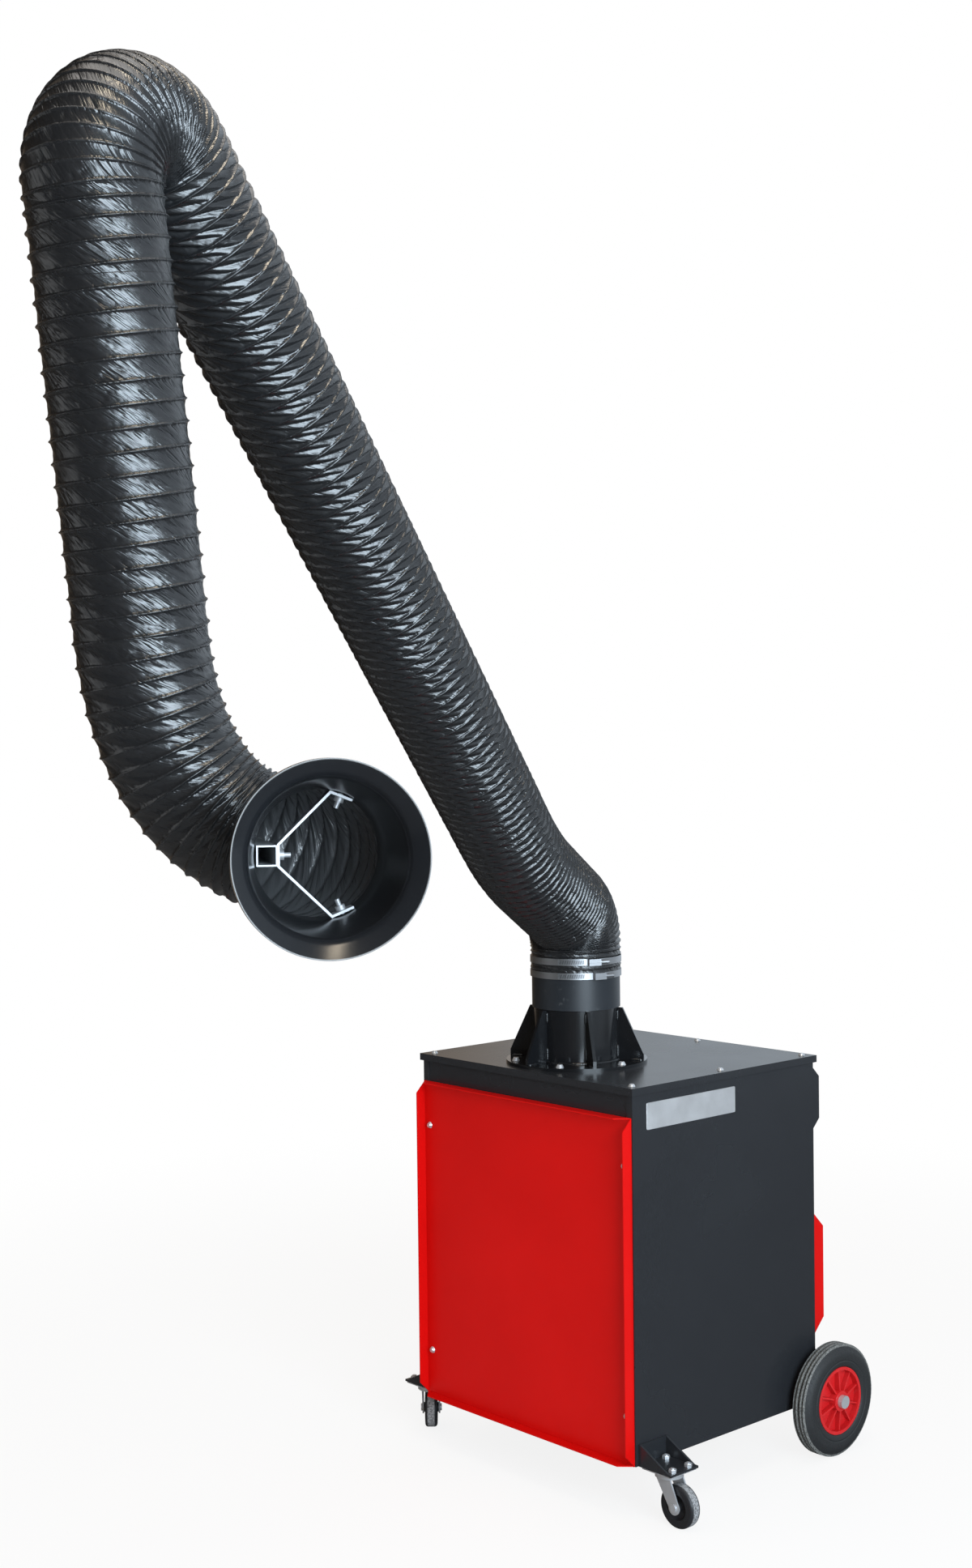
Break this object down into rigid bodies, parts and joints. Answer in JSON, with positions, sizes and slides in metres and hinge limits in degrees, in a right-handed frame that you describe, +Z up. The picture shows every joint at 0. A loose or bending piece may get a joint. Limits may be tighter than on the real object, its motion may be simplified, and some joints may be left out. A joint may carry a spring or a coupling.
{
  "type": "mobile fume extractor",
  "caption": "Wheeled sheet-metal fume extractor: filter cabinet with bolted trays, flanged swivel inlet and a jointed suction arm in ribbed hose that ends in a round hood.",
  "frame": {"origin": "floor level below the centre of the cabinet", "axes": "+Z up, the door faces -Y, +X to the right of someone facing the door"},
  "size_m": [1.2737, 1.9094, 2.1946],
  "materials": {
    "red_paint": "gloss powder coat",
    "black_paint": "semi-gloss powder coat",
    "grey_paint": "matte",
    "zinc": "zinc plated",
    "dark_steel": "blackened",
    "hose_vinyl": "glossy coated fabric with wire helix",
    "tyre_rubber": "matte",
    "red_plastic": "moulded",
    "black_plastic": "moulded",
    "grey_plastic": "moulded",
    "filter_paper": "pleated",
    "cast_aluminium": "cast"
  },
  "bodies": {
    "cabinet": {"side_panel_left": "black_paint", "side_panel_right": "black_paint", "rear_wall": "black_paint", "front_frame": "black_paint", "base_pan": "black_paint", "top_lid": "black_paint", "panel_bolts": "zinc", "pipe_flange": "black_paint", "flange_bolts": "zinc", "door_panel": "red_paint", "rear_cover": "red_paint", "control_panel": "black_paint", "cable_gland": "black_plastic", "outlet_grille": "black_paint", "divider_plate": "black_paint", "filter_cassette": "filter_paper", "filter_seal": "black_plastic", "inlet_cone": "black_paint", "motor": "cast_aluminium", "motor_bracket": "black_paint", "axle_brackets": "black_paint", "rear_axle": "zinc", "axle_caps": "zinc", "castor_brackets": "black_paint", "castor_plates": "zinc"},
    "castor_swivel_left": {"castor_fork_left": "zinc", "castor_axle_left": "zinc"},
    "castor_swivel_right": {"castor_fork_right": "zinc", "castor_axle_right": "zinc"},
    "castor_roller_left": {"castor_wheel_left": "grey_plastic"},
    "castor_roller_right": {"castor_wheel_right": "grey_plastic"},
    "rear_wheel_left": {"tyre_left": "tyre_rubber", "hub_left": "red_plastic"},
    "rear_wheel_right": {"tyre_right": "tyre_rubber", "hub_right": "red_plastic"},
    "fan": {"impeller": "dark_steel"},
    "switch": {"switch_knob": "black_plastic"},
    "arm_base": {"swivel_collar": "grey_paint", "hose_clamps": "zinc", "shoulder_bracket": "grey_paint", "shoulder_bolt": "zinc", "shoulder_discs": "black_plastic", "hose_shoulder": "hose_vinyl"},
    "lower_arm": {"lower_arm_tube": "zinc", "lower_elbow_plates": "grey_paint", "elbow_bolt": "zinc", "elbow_discs": "black_plastic", "hose_lower_leg": "hose_vinyl", "hose_elbow": "hose_vinyl"},
    "upper_arm": {"upper_elbow_plates": "grey_paint", "upper_arm_tube": "zinc", "turn_bush": "black_plastic", "hose_upper_leg": "hose_vinyl"},
    "wrist": {"knuckle": "grey_paint", "tilt_bolt": "zinc", "hose_wrist": "hose_vinyl"},
    "suction_hood": {"stub_tube": "zinc", "hood_strap": "zinc", "strap_bolts": "zinc", "hood": "black_paint"}
  },
  "joints": [
    {"name": "castor_swivel_right", "type": "hinge", "parent": "cabinet", "child": "castor_swivel_right", "pos_m": [0.3175, -0.206, 0.0887], "axis": [0, 0, 1], "continuous": true},
    {"name": "castor_swivel_left", "type": "hinge", "parent": "cabinet", "child": "castor_swivel_left", "pos_m": [-0.3175, -0.206, 0.0887], "axis": [0, 0, 1], "continuous": true},
    {"name": "castor_roll_right", "type": "hinge", "parent": "castor_swivel_right", "child": "castor_roller_right", "pos_m": [0.3425, -0.206, 0.0375], "axis": [0, 1, 0], "continuous": true},
    {"name": "castor_roll_left", "type": "hinge", "parent": "castor_swivel_left", "child": "castor_roller_left", "pos_m": [-0.33608, -0.18927, 0.0375], "axis": [-0.6691, -0.7431, 0], "continuous": true},
    {"name": "rear_roll_right", "type": "hinge", "parent": "cabinet", "child": "rear_wheel_right", "pos_m": [0.3085, 0.2595, 0.105], "axis": [1, 0, 0], "continuous": true},
    {"name": "rear_roll_left", "type": "hinge", "parent": "cabinet", "child": "rear_wheel_left", "pos_m": [-0.3085, 0.2595, 0.105], "axis": [1, 0, 0], "continuous": true},
    {"name": "fan_spin", "type": "hinge", "parent": "cabinet", "child": "fan", "pos_m": [0, 0.094, 0.292], "axis": [0, 1, 0], "continuous": true},
    {"name": "switch_turn", "type": "hinge", "parent": "cabinet", "child": "switch", "pos_m": [0.12, 0.2495, 0.672], "axis": [0, 1, 0], "range_deg": [0, 90]},
    {"name": "arm_swivel", "type": "hinge", "parent": "cabinet", "child": "arm_base", "pos_m": [0, -0.106, 0.91], "axis": [0, 0, 1], "continuous": true},
    {"name": "shoulder_tilt", "type": "hinge", "parent": "arm_base", "child": "lower_arm", "pos_m": [0, -0.106, 1.01], "axis": [-0.9205, -0.3907, 0], "range_deg": [-25, 40], "deforming": ["hose_shoulder"]},
    {"name": "elbow_bend", "type": "hinge", "parent": "lower_arm", "child": "upper_arm", "pos_m": [0.562, -1.42999, 2.1224], "axis": [-0.9205, -0.3907, 0], "range_deg": [-10, 105], "deforming": ["hose_elbow"]},
    {"name": "hood_turn", "type": "hinge", "parent": "upper_arm", "child": "wrist", "pos_m": [0.54201, -1.3829, 1.49233], "axis": [-0.0618, 0.1456, -0.9874], "range_deg": [-90, 90]},
    {"name": "hood_tilt", "type": "hinge", "parent": "wrist", "child": "suction_hood", "pos_m": [0.58395, -1.25345, 1.22403], "axis": [0.4848, 0.8746, 0], "range_deg": [-25, 60], "deforming": ["hose_wrist"]}
  ]
}
